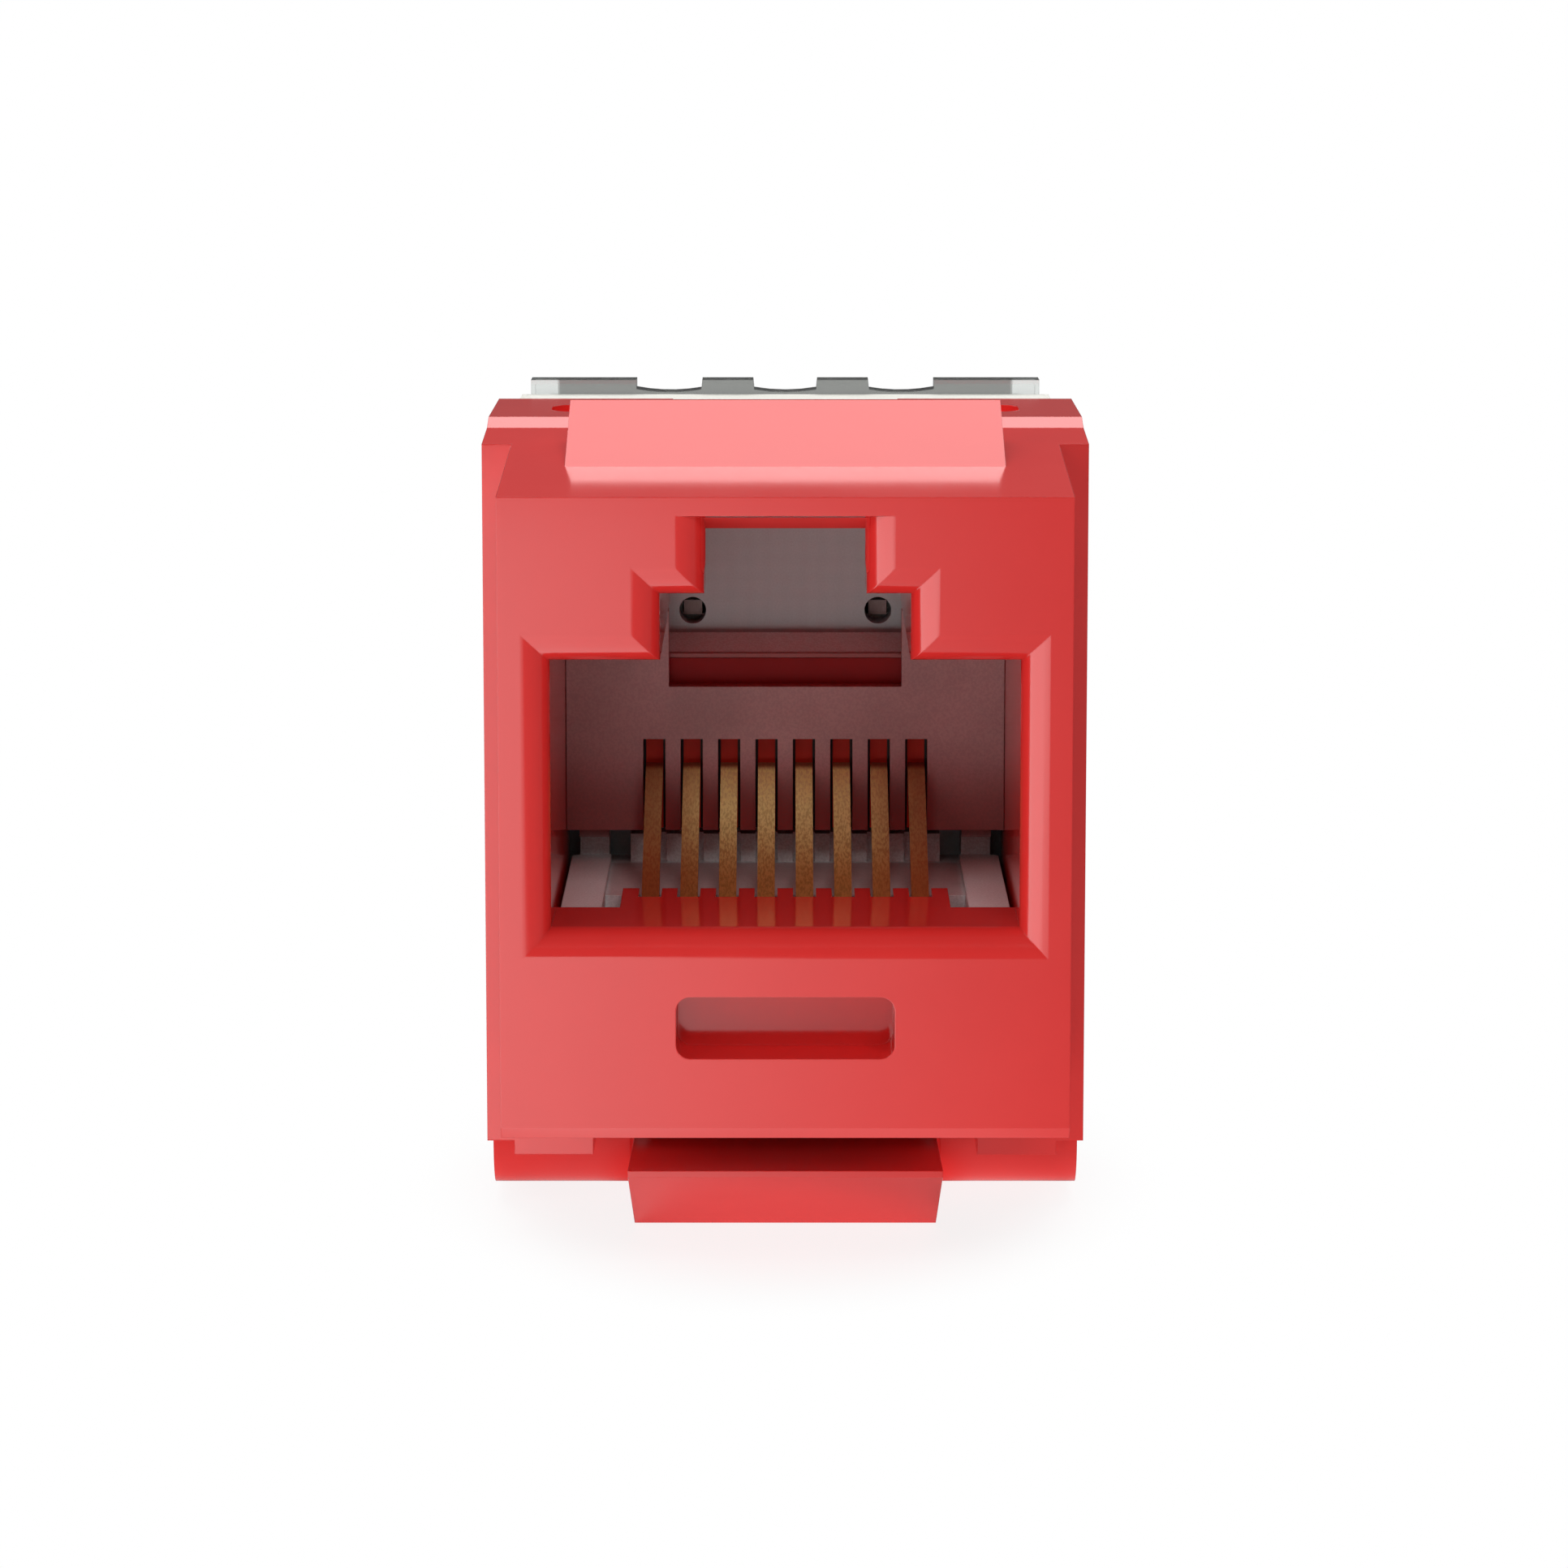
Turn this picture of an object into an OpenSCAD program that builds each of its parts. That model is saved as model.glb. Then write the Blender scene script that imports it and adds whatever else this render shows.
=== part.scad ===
// Keystone jack: a panel-mount modular socket with eight contacts, a punch-down
// wire block and a clear dust cap. All sizes are in millimetres.
// +X is right, +Y runs from the front face to the back, +Z is up.
// The origin is the centre of the flat front face.

/* [Front block] */
// width of the block that enters the panel cut-out
face_w = 14.5; // [14:0.1:15.5]
// height of the flat front face
face_h = 16.15; // [15.8:0.05:17]
// bevel along the lower front edge
face_bevel = 0.32; // [0.1:0.02:0.8]
// depth from the front face to the shoulder that stops at the panel
shoulder_y = 8.22; // [7:0.02:9]
// rise of the sloping top, in degrees
top_slope = 3.75; // [2:0.05:5]

/* [Rear body] */
// width of the body behind the shoulder
body_w = 16.08; // [15.8:0.02:18]
// depth from the front face to the rear edge of the housing
body_d = 17.5; // [17:0.1:20]
// depth at which the sloping top meets the small ramp
ramp_y = 10.97; // [10.2:0.01:11.5]
// length of the small ramp
ramp_l = 0.88; // [0.4:0.02:1.4]
// rise of the small ramp
ramp_rise = 0.215; // [0.05:0.005:0.5]
// how far the shoulder reaches below the front face
shoulder_drop = 2.16; // [1.2:0.02:2.6]
// depth at which the lower body starts
lower_y = 11.25; // [10.5:0.05:12]
// how far the lower body reaches below the front face
lower_drop = 4.29; // [3.9:0.01:5]
// radius of the lower body's front edge
lower_r = 1.5; // [0.5:0.05:1.9]
// distance between the inner sides of the two pads
pad_gap = 10.36; // [9.6:0.02:11]
// width of each pad
pad_w = 2.13; // [1:0.01:2.6]
// height of each pad below the shoulder
pad_h = 0.39; // [0.1:0.01:0.6]
// side wall of the rear chamber
chamber_wall = 1.19; // [0.8:0.01:1.4]
// top wall of the rear chamber
chamber_roof = 1.56; // [1.3:0.02:2]
// width of the pocket in the top, behind the hook
pocket_w = 12.86; // [8:0.02:14]
// depth at which the top pocket starts
pocket_y = 13.4; // [12.6:0.05:14]
// length of the top pocket
pocket_l = 2.2; // [1.6:0.05:2.3]
// corner radius of the top pocket
pocket_r = 0.7; // [0.2:0.05:0.75]
// depth of the top pocket
pocket_h = 0.9; // [0.3:0.05:1]

/* [Hook and latch] */
// width of the fixed hook on top
hook_w = 11.4; // [6:0.1:13]
// depth at which the hook's ramp starts
hook_y = 4.6; // [3:0.05:6]
// depth of the hook's catch face
catch_y = 8.9; // [8.4:0.05:9.6]
// height of the hook's crest above the front face's top edge
hook_rise = 1.67; // [1:0.01:2.2]
// flat along the hook's crest and the latch's crest
crest_l = 0.25; // [0.1:0.01:0.5]
// width of the springy latch
latch_w = 8.2; // [5:0.1:8.6]
// free space on each side of the latch
latch_side = 0.17; // [0.1:0.01:0.3]
// depth of the latch's nose
nose_y = 2.8; // [2:0.05:4]
// distance from the front face's lower edge down to the nose
nose_drop = 1.755; // [1.2:0.005:2.2]
// height of the blunt nose
nose_h = 0.175; // [0.1:0.005:0.4]
// distance from the front face's lower edge down to the latch's crest
crest_drop = 4.67; // [4.3:0.01:5.4]
// depth of the latch's catch face
latch_catch_y = 9.45; // [8.8:0.05:10]
// thickness of the latch's arm
arm_t = 1.1; // [0.7:0.02:1.3]
// free space above the latch's arm
arm_gap = 0.5; // [0.3:0.02:0.7]
// distance from the front face's lower edge down to the arm
arm_drop = 2.325; // [2.2:0.025:2.6]
// wall between the rear chamber and the latch's channel
channel_roof = 1.0; // [0.7:0.05:1.2]
// depth at which the arm joins the body
root_y = 15.6; // [14:0.1:16]

/* [Plug socket] */
// width of the socket
socket_w = 11.9; // [11.7:0.01:12]
// height of the socket
socket_h = 6.85; // [6.7:0.01:7]
// height of the socket's floor below the centre of the front face
floor_drop = 2.975; // [2.6:0.005:3.2]
// width of the first step in the socket's roof
step_w = 6.33; // [6:0.01:6.6]
// rise of the first step
step_rise = 1.69; // [1.4:0.01:1.8]
// width of the notch for the plug's lever
notch_w = 4.09; // [3.8:0.01:4.3]
// rise of the notch above the step
notch_rise = 2.03; // [1.8:0.01:2.1]
// slope of the notch's roof lip, in degrees
notch_slope = 12; // [0:0.5:15]
// length of the notch's roof lip
notch_lip = 3; // [1:0.1:4]
// radius of the rounded rim
rim_r = 0.72; // [0.3:0.02:0.74]
// thickness of the floor's tongue
tongue_t = 0.575; // [0.4:0.025:0.7]
// width of the floor's tongue
tongue_w = 8.58; // [8.2:0.02:8.8]
// depth at which the tongue's teeth end
tongue_y = 6.3; // [6:0.05:6.4]
// length of the tongue's teeth
tongue_teeth = 1.3; // [0.8:0.05:1.35]
// depth at which the floor ends beside the tongue
floor_y = 3.45; // [2.5:0.05:4]

/* [Label recess] */
// width of the recess
label_w = 5.56; // [4:0.02:8]
// height of the recess
label_h = 1.6; // [1:0.02:2.2]
// height of the recess's middle below the centre of the front face
label_drop = 5.475; // [5:0.005:6]
// depth of the recess
label_d = 1.8; // [0.5:0.05:2.2]
// corner radius of the recess
label_r = 0.37; // [0.1:0.01:0.45]

/* [Contacts] */
// distance between neighbouring contacts
pitch = 1.016; // [1:0.002:1.03]
// width of a contact wire
wire_w = 0.46; // [0.3:0.01:0.5]
// thickness of a contact wire
wire_t = 0.3; // [0.2:0.01:0.35]
// slope of the free arm, in degrees
wire_a = 28; // [26:0.5:30]
// height of the free tip, from the centre of the front face
tip_z = -0.45; // [-0.6:0.01:-0.3]
// depth of the bend's centre
bend_y = 5.8; // [5.75:0.01:5.9]
// radius of the bend, at the middle of the wire
bend_r = 0.55; // [0.45:0.01:0.6]
// rise of every other contact's tail
tail_step = 1.27; // [1.1:0.01:1.3]

/* [Contact carrier] */
// depth of the comb wall's front
wall_y = 10.66; // [10.4:0.02:10.9]
// thickness of the comb wall
wall_t = 0.6; // [0.4:0.02:0.7]
// free space between the comb wall and the socket's side
wall_fit = 0.01; // [0.005:0.005:0.05]
// width of a slot in the comb wall
slot_w = 0.6; // [0.55:0.01:0.7]
// height of the slots' tops above the centre of the front face
slot_top = 0.355; // [0:0.005:1]
// distance from the socket's floor up to the comb wall
wall_gap = 0.83; // [0.7:0.01:1]
// width of the window in the comb wall
window_w = 6.3; // [5:0.05:6.6]
// height of the window's sill above the centre of the front face
window_z = 1.795; // [1:0.005:2.5]
// distance from the socket's floor down to the tray
tray_drop = 0.23; // [0.15:0.01:0.35]
// depth at which the tray starts
tray_y = 6.5; // [6.45:0.05:7]
// distance from the socket's floor down to the tray's underside
tray_depth = 2.225; // [2:0.025:2.4]
// distance from the socket's floor down to the rails
rail_drop = 0.03; // [0:0.01:0.1]
// width of each rail
rail_w = 1.13; // [0.8:0.01:1.2]
// extra free space between each rail and the socket's side
rail_in = 0.07; // [0:0.01:0.1]
// depth of the low comb's front
comb_y = 11.8; // [11.6:0.02:12]
// distance from the socket's floor up to the low comb's top
comb_rise = 0.545; // [0.3:0.005:0.65]
// depth of the low comb's slots
comb_slot = 0.3; // [0.2:0.02:0.35]
// wall left outside the low comb's end slots
comb_end = 0.38; // [0.2:0.02:0.5]
// depth of the tails' risers behind the low comb's front
riser_in = 0.7; // [0.65:0.01:0.8]
// free space between the low comb and the retainer bar
bar_gap = 0.25; // [0.1:0.05:0.4]
// width of each upright at the ends of the low comb
cheek_w = 0.8; // [0.5:0.02:1]
// free space between each upright and the carrier's side
cheek_in = 0.28; // [0.1:0.02:0.4]
// height of the sloping ledge's rear edge above the centre of the front face
ledge_top = 3.04; // [2.6:0.01:3.3]
// fall of the ledge towards its front
ledge_fall = 0.42; // [0.2:0.02:0.7]
// thickness of the ledge at its front
ledge_t = 0.12; // [0.1:0.01:0.2]
// thickness of the retainer bar
bar_t = 1.2; // [0.8:0.05:1.3]

/* [Circuit board] */
// depth of the board's front
board_y = 12.95; // [12.85:0.01:13.1]
// thickness of the board
board_t = 1.2; // [0.8:0.05:1.6]
// hole for a contact's tail
tail_hole = 0.8; // [0.7:0.01:0.9]
// hole for a blade's pin
pin_hole = 0.74; // [0.66:0.01:0.9]

/* [Wire block] */
// distance between neighbouring wire slots
idc_pitch = 3.3; // [3.1:0.05:3.4]
// height of the upper blades above the centre of the front face
blade_z = 3.59; // [3:0.005:4]
// height of the block's middle below the centre of the front face
idc_drop = 1.65; // [1.4:0.05:1.9]
// width of a wire slot
wire_slot = 1.0; // [0.8:0.02:1.2]
// width of the base plate behind the housing
base_w = 15.1; // [14.8:0.05:15.6]
// height of the base plate above the block's middle
base_h = 10.49; // [10.2:0.01:10.6]
// depth at which the base plate ends
base_y = 20.9; // [20:0.1:21.5]
// free space between the base plate and the wire slots
slot_floor = 0.2; // [0.1:0.05:0.5]
// widening of each wire slot's mouth, per side
slot_mouth = 0.45; // [0.2:0.05:0.5]
// depth at which the towers end
tower_y = 27.5; // [26.8:0.1:29]
// skin beside the outer blades at the towers' ends
end_skin = 0.3; // [0.2:0.05:0.5]
// height of the towers above the upper blades
tower_reach = 3.66; // [3:0.005:4]
// distance between the two rows of towers
row_gap = 4.8; // [4.4:0.1:5.4]
// length of the towers' tapered tips
taper_l = 1.6; // [0.8:0.1:2]
// width of the tongue in the housing's rear edge
tab_w = 6.2; // [4:0.1:8]
// length of that tongue
tab_l = 1.5; // [1:0.05:1.7]
// width of the snap on each side, along the height
snap_w = 3; // [2:0.1:4]
// length of the snap on each side
snap_l = 1.6; // [1:0.05:2]
// distance from the snap to the housing's rear edge
snap_back = 0.9; // [0.6:0.05:1.2]
// how far the snap stays below the housing's side
snap_in = 0.3; // [0.1:0.05:0.6]
// distance from the base plate back to the ridge that holds the cap
clip_back = 1.6; // [1.4:0.05:2.4]
// length of that ridge
clip_l = 1.0; // [0.6:0.05:1.5]
// height of that ridge
clip_out = 0.56; // [0.2:0.02:0.7]

/* [Blades] */
// width of a blade
blade_w = 2.3; // [2.1:0.02:2.4]
// thickness of a blade
blade_t = 0.4; // [0.3:0.01:0.5]
// width of the fork's slit
slit_w = 0.38; // [0.25:0.01:0.5]
// offset of the pin from the blade's middle
pin_off = 0.89; // [0.7:0.01:0.9]
// width of the pin
pin_w = 0.5; // [0.4:0.01:0.52]
// distance from the board's front back to the pin's end
pin_in = 0.7; // [0.1:0.01:0.8]
// distance from the towers' ends back to the blade's tip
blade_in = 1.6; // [1.2:0.05:2.4]
// distance from the wire slot's end back to the fork's slit
slit_in = 0.3; // [0.1:0.05:0.6]
// depth of the fork's mouth
fork_l = 1.4; // [0.8:0.05:2]
// distance that a blade's body reaches into the housing
blade_seat = 0.5; // [0.3:0.05:1]

/* [Dust cap] */
// wall of the cap
cap_wall = 0.8; // [0.6:0.02:1]
// thickness of the cap's rear plate
cap_back = 1.0; // [0.8:0.05:1.4]
// corner radius of the cap
cap_r = 0.3; // [0.1:0.05:0.6]
// free space between the towers' ends and the cap's rear plate
cap_room = 0.5; // [0.3:0.05:1]
// length of the raised lip at the cap's front edge
lip_l = 1.0; // [0.6:0.05:1.3]
// height of the raised lip above the cap's shell
lip_h = 1.09; // [0.6:0.01:1.4]
// depth of the lip's scallops
scallop_d = 0.35; // [0.2:0.01:0.6]
// width of each scallop at its top
scallop_w = 1.94; // [1.2:0.02:2.4]
// slant of the scallops' inner sides
scallop_slant = 0.14; // [0:0.01:0.3]
// width of the relief in each corner of the lip
relief_w = 0.66; // [0.3:0.02:0.8]
// depth of that relief
relief_d = 0.6; // [0.2:0.05:0.8]
// wall left around that relief
relief_wall = 0.12; // [0.08:0.01:0.2]
// radius of the scallops' floor
scallop_r = 5.2; // [3:0.1:8]
// width of the cable opening
cable_w = 6.4; // [5:0.1:8]
// corner radius of the cable opening
cable_r = 1.2; // [0.4:0.1:2]
// thickness of the ribs that hold the wires down
rib_t = 0.7; // [0.5:0.02:0.76]
// height of those ribs
rib_h = 3.6; // [2:0.1:5]
// free space between those ribs and the blades
rib_gap = 0.2; // [0.1:0.05:0.5]

/* [Fits] */
// free space between moulded pieces
fit = 0.05; // [0.02:0.01:0.06]
// free space around a blade in the block
blade_fit = 0.02; // [0.01:0.005:0.04]
// free space beside a contact wire in its groove
wire_fit = 0.02; // [0.01:0.005:0.04]
// how far a tail reaches through the board
tail_out = 0.6; // [0.4:0.05:0.8]
// free space around the tails
tail_room = 0.4; // [0.3:0.05:0.5]

/* [Hidden] */
$fn = 48;
eps = 0.5;
contacts = 8;
face_top = face_h / 2;
face_bot = -face_h / 2;
block_bot = face_bot - face_bevel;
ramp_z = face_top + ramp_y * tan(top_slope);
body_top = ramp_z + ramp_rise;
body_bot = face_bot - lower_drop;
shoulder_bot = face_bot - shoulder_drop;
hook_top = face_top + hook_rise;
crest_z = face_bot - crest_drop;
nose_z = face_bot - nose_drop;
floor_z = -floor_drop;
roof_z = floor_z + socket_h;
step_z = roof_z + step_rise;
notch_z = step_z + notch_rise;
lip_z = notch_z - notch_lip * tan(notch_slope);
chamber_w = body_w - 2 * chamber_wall;
chamber_top = body_top - chamber_roof;
arm_top = face_bot - arm_drop;
arm_roof = arm_top + arm_gap;
arm_bot = arm_top - arm_t;
chamber_floor = arm_roof + channel_roof;
tray_z = floor_z - tray_drop;
tray_bot = floor_z - tray_depth;
rail_z = floor_z - rail_drop;
comb_z = floor_z + comb_rise;
wall_bot = floor_z + wall_gap;
carrier_w = socket_w - 2 * fit;
rail_x = carrier_w / 2 - rail_w;
cheek_x1 = carrier_w / 2 - cheek_in;
cheek_x0 = cheek_x1 - cheek_w;
board_back = board_y + board_t;
tip_y = wall_y + wall_t / 2;
bar_y = wall_y + wall_t + fit;
ledge_low = ledge_top - ledge_fall - ledge_t;
arm_len = (tip_y + bend_r * sin(wire_a) - bend_y) / cos(wire_a);
bend_z = tip_z - arm_len * sin(wire_a) - bend_r * cos(wire_a);
run_z = bend_z - bend_r;
jog_y = comb_y + riser_in;
tail_y = board_back + tail_out;
idc_z = -idc_drop;
row_rise = blade_z + idc_drop;
block_w = chamber_w - 2 * fit;
block_top = chamber_top - fit;
block_low = chamber_floor + fit;
tower_top = row_rise + tower_reach;
tower_w = 3 * idc_pitch + blade_w + 2 * end_skin;
slot_y = base_y + slot_floor;
blade_tip = tower_y - blade_in;
blade_root = body_d - blade_seat;
cap_y0 = base_y + fit;
cap_y1 = tower_y + cap_room;
cap_iw = tower_w + 4 * fit;
cap_ih = 2 * tower_top + 4 * fit;
cap_ow = cap_iw + 2 * cap_wall;
cap_oh = cap_ih + 2 * cap_wall;
cap_end = cap_y1 + cap_back;
snap_y = body_d - snap_back - snap_l;
clip_y = base_y + clip_back;

function contact_x(i) = (i - (contacts + 1) / 2) * pitch;
function tail_z(i) = run_z + (i % 2 == 0 ? tail_step : 0);
function blade_x(i) = ((i - 1) % 4 - 1.5) * idc_pitch;
function blade_row(i) = i <= 4 ? 1 : -1;
function blade_height(i) = idc_z + blade_row(i) * row_rise;
function pin_side(i) = let (k = (i - 1) % 4) k == 0 || k == 2 ? 1 : -1;
function pin_x(i) = blade_x(i) + pin_side(i) * pin_off;

// a box between two corners
module box(x0, x1, y0, y1, z0, z1) {
  translate([x0, y0, z0])
    cube([x1 - x0, y1 - y0, z1 - z0]);
}

// a box centred across the width
module bar(w, y0, y1, z0, z1) {
  box(-w / 2, w / 2, y0, y1, z0, z1);
}

// the children, a side view drawn in Y and Z, made w wide
module across(w) {
  rotate([90, 0, 90])
    linear_extrude(w, center = true)
      children();
}

// the children, a front view drawn in X and Z, made from y0 to y1
module along(y0, y1) {
  translate([0, y1, 0])
    rotate([90, 0, 0])
      linear_extrude(y1 - y0)
        children();
}

// the children, a plan drawn in X and Y, made from z0 to z1
module upright(z0, z1) {
  translate([0, 0, z0])
    linear_extrude(z1 - z0)
      children();
}

// both sides of the width
module both_sides() {
  children();
  mirror([1, 0, 0])
    children();
}

// a rectangle with round corners
module rounded(w, h, r) {
  square([w - 2 * r, h], center = true);
  square([w, h - 2 * r], center = true);
  for (sx = [-1, 1], sy = [-1, 1])
    translate([sx * (w / 2 - r), sy * (h / 2 - r)])
      circle(r);
}

// the gap between two walls that open out in a quarter round at the front
module flare(half, depth) {
  translate([-half, 0])
    square([2 * half, depth]);
  difference() {
    translate([-half - rim_r, -eps])
      square([2 * (half + rim_r), eps + rim_r]);
    for (s = [-1, 1])
      translate([s * (half + rim_r), rim_r])
        circle(rim_r);
  }
}

// one rectangular part of the socket, from z0 to z1, with its rounded rim
module flared_hole(w, z0, z1, depth) {
  intersection() {
    upright(z0 - rim_r, z1 + rim_r)
      flare(w / 2, depth);
    translate([0, 0, (z0 + z1) / 2])
      rotate([0, 90, 0])
        linear_extrude(w + 2 * rim_r, center = true)
          flare((z1 - z0) / 2, depth);
  }
}

// the notch for the plug's lever: round at the sides, sloping flat roof
module lever_notch(z0, depth) {
  intersection() {
    upright(z0, notch_z + eps)
      flare(notch_w / 2, depth);
    across(notch_w + 2 * rim_r)
      polygon([
        [-eps, z0],
        [-eps, notch_z + eps * tan(notch_slope)],
        [notch_lip, lip_z],
        [depth, lip_z],
        [depth, z0]
      ]);
  }
}

module socket() {
  depth = board_y + eps;
  flared_hole(socket_w, floor_z, roof_z, depth);
  flared_hole(step_w, floor_z + socket_h / 2, step_z, depth);
  lever_notch(roof_z - rim_r, depth);
  // wider room behind the notch, where the plug's lever locks
  bar(step_w, notch_lip, depth, roof_z, lip_z);
}

// room under and behind the socket's floor for the carrier
module carrier_room() {
  wide = socket_w;
  difference() {
    bar(wide, floor_y, board_y + eps, tray_bot, floor_z + eps);
    bar(tongue_w, floor_y - eps, tongue_y - tongue_teeth, floor_z - tongue_t, floor_z + 2 * eps);
    bar(tongue_w, floor_y - eps, floor_y + 1, tray_bot - eps, floor_z);
    difference() {
      bar(tongue_w, floor_y, tongue_y, floor_z - tongue_t, floor_z + 2 * eps);
      for (i = [1 : contacts])
        translate([contact_x(i), 0, 0])
          bar(slot_w, tongue_y - tongue_teeth, tongue_y + eps, tray_bot, floor_z + 3 * eps);
    }
  }
}

// side view of the block that enters the panel
module block_profile() {
  back = shoulder_y + 1;
  polygon([
    [0, face_bot],
    [face_bevel, block_bot],
    [back, block_bot],
    [back, face_top + back * tan(top_slope)],
    [0, face_top]
  ]);
}

// side view of the body behind the shoulder
module body_profile() {
  polygon([
    [shoulder_y, shoulder_bot],
    [lower_y, shoulder_bot],
    [lower_y, body_bot + lower_r],
    [lower_y + lower_r, body_bot + lower_r],
    [lower_y + lower_r, body_bot],
    [body_d, body_bot],
    [body_d, body_top],
    [ramp_y + ramp_l, body_top],
    [ramp_y, ramp_z],
    [shoulder_y, face_top + shoulder_y * tan(top_slope)]
  ]);
  translate([lower_y + lower_r, body_bot + lower_r])
    circle(lower_r);
}

// side view of the fixed hook
module hook_profile() {
  polygon([
    [hook_y, face_top + hook_y * tan(top_slope)],
    [hook_y, face_top],
    [catch_y, face_top],
    [catch_y, hook_top],
    [catch_y - crest_l, hook_top]
  ]);
}

// side view of the springy latch, from its nose to its root
module latch_profile() {
  polygon([
    [nose_y, nose_z],
    [nose_y, nose_z - nose_h],
    [latch_catch_y - crest_l, crest_z],
    [latch_catch_y, crest_z],
    [latch_catch_y, arm_bot],
    [root_y + 1, arm_bot],
    [root_y + 1, arm_top],
    [latch_catch_y + 0.5, arm_top]
  ]);
}

// windows in the housing's sides that take the wire block's snaps
module snap_windows() {
  both_sides()
    box(chamber_w / 2 - eps, body_w / 2 + eps, snap_y - fit, snap_y + snap_l + fit,
        idc_z - snap_w / 2 - fit, idc_z + snap_w / 2 + fit);
}

module front_housing() {
  slot_x = latch_w / 2 + latch_side;
  color([0.83, 0.13, 0.13]) {
    difference() {
      union() {
        across(face_w) block_profile();
        across(body_w) body_profile();
        across(hook_w) hook_profile();
        both_sides()
          box(pad_gap / 2, pad_gap / 2 + pad_w, shoulder_y, lower_y + lower_r,
              shoulder_bot - pad_h, shoulder_bot);
      }
      socket();
      carrier_room();
      // chamber for the board and the wire block
      bar(chamber_w, board_y, body_d + eps, chamber_floor, chamber_top);
      // open space in front of the lower body, for the latch
      bar(pad_gap, shoulder_y - eps, lower_y, shoulder_bot - eps, block_bot);
      // channel for the latch's arm
      bar(2 * slot_x, lower_y - eps, root_y, body_bot - eps, arm_roof);
      // pocket in the top
      translate([0, pocket_y + pocket_l / 2, 0])
        upright(body_top - pocket_h, body_top + eps)
          rounded(pocket_w, pocket_l, pocket_r);
      // notch for the wire block's tongue
      bar(tab_w + 2 * fit, body_d - tab_l - fit, body_d + eps, chamber_top - eps, body_top + eps);
      snap_windows();
      // label recess
      translate([0, 0, -label_drop])
        along(-eps, label_d)
          rounded(label_w, label_h, label_r);
    }
    across(latch_w) latch_profile();
  }
}

module carrier_wall() {
  difference() {
    bar(socket_w - 2 * wall_fit, wall_y, wall_y + wall_t, wall_bot, roof_z - wall_fit);
    bar(window_w, wall_y - eps, wall_y + wall_t + eps, window_z, roof_z);
    for (i = [1 : contacts])
      translate([contact_x(i), 0, 0])
        bar(slot_w, wall_y - eps, wall_y + wall_t + eps, wall_bot - eps, slot_top);
  }
}

module contact_carrier() {
  comb_w = (contacts - 1) * pitch + slot_w + 2 * comb_end;
  color([0.62, 0.61, 0.61]) {
    difference() {
      union() {
        carrier_wall();
        // tray between the rails
        bar(carrier_w - rail_w, tray_y, board_y, tray_bot, tray_z);
        // rails, with a round rear corner beside each upright
        both_sides()
          upright(tray_bot, rail_z) {
            translate([rail_x, floor_y + fit])
              square([rail_w - rail_in, comb_y - floor_y - fit - cheek_in]);
            translate([rail_x, comb_y - 2 * cheek_in])
              square([rail_w - cheek_in, 2 * cheek_in]);
            translate([carrier_w / 2 - cheek_in, comb_y - cheek_in])
              circle(cheek_in - rail_in);
          }
        // uprights that carry the comb wall
        both_sides() {
          box(cheek_x0, cheek_x1, comb_y, board_y, tray_bot, comb_z);
          box(cheek_x0, cheek_x1, wall_y + wall_t, board_y, comb_z, roof_z - fit);
        }
        // sloping ledge over the retainer bar, between the uprights
        across(2 * cheek_x1)
          polygon([
            [bar_y, ledge_low],
            [bar_y, ledge_low + ledge_t],
            [bar_y + bar_t, ledge_top],
            [bar_y + bar_t, ledge_low]
          ]);
        // low comb
        bar(comb_w, comb_y, board_y, tray_z, comb_z);
      }
      for (i = [1 : contacts])
        translate([contact_x(i), 0, 0]) {
          bar(slot_w, comb_y - eps, comb_y + comb_slot, tray_z, comb_z + eps);
          // groove for the contact's lower run
          bar(wire_w + 2 * wire_fit, tray_y - eps, board_y + eps, tray_bot - eps, run_z + wire_t / 2);
        }
      // room for the contacts' tails
      bar(comb_w, jog_y - wire_t, board_y + eps, tray_bot - eps, run_z + tail_step + wire_t);
    }
  }
}

module contact_retainer() {
  color([0.5, 0.05, 0.06])
    bar(2 * (cheek_x0 - fit), bar_y, bar_y + bar_t, comb_z + bar_gap, ledge_low - wall_fit);
}

// side view of one contact wire, its tail raised by step
module wire_profile(step) {
  reach = 2 * bend_r;
  translate([tip_y, tip_z])
    rotate(180 + wire_a)
      translate([0, -wire_t / 2])
        square([arm_len, wire_t]);
  translate([bend_y, bend_z])
    intersection() {
      difference() {
        circle(bend_r + wire_t / 2);
        circle(bend_r - wire_t / 2);
      }
      polygon([
        [0, 0],
        [-reach * sin(wire_a), reach * cos(wire_a)],
        [-reach, reach],
        [-reach, -reach],
        [0, -reach]
      ]);
    }
  if (step == 0) {
    translate([bend_y, run_z - wire_t / 2])
      square([tail_y - bend_y, wire_t]);
  } else {
    translate([bend_y, run_z - wire_t / 2])
      square([jog_y + wire_t / 2 - bend_y, wire_t]);
    translate([jog_y - wire_t / 2, run_z - wire_t / 2])
      square([wire_t, step + wire_t]);
    translate([jog_y - wire_t / 2, run_z + step - wire_t / 2])
      square([tail_y - jog_y + wire_t / 2, wire_t]);
  }
}

module contact(i) {
  color([0.78, 0.58, 0.25])
    translate([contact_x(i), 0, 0])
      across(wire_w)
        wire_profile(i % 2 == 0 ? tail_step : 0);
}

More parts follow.
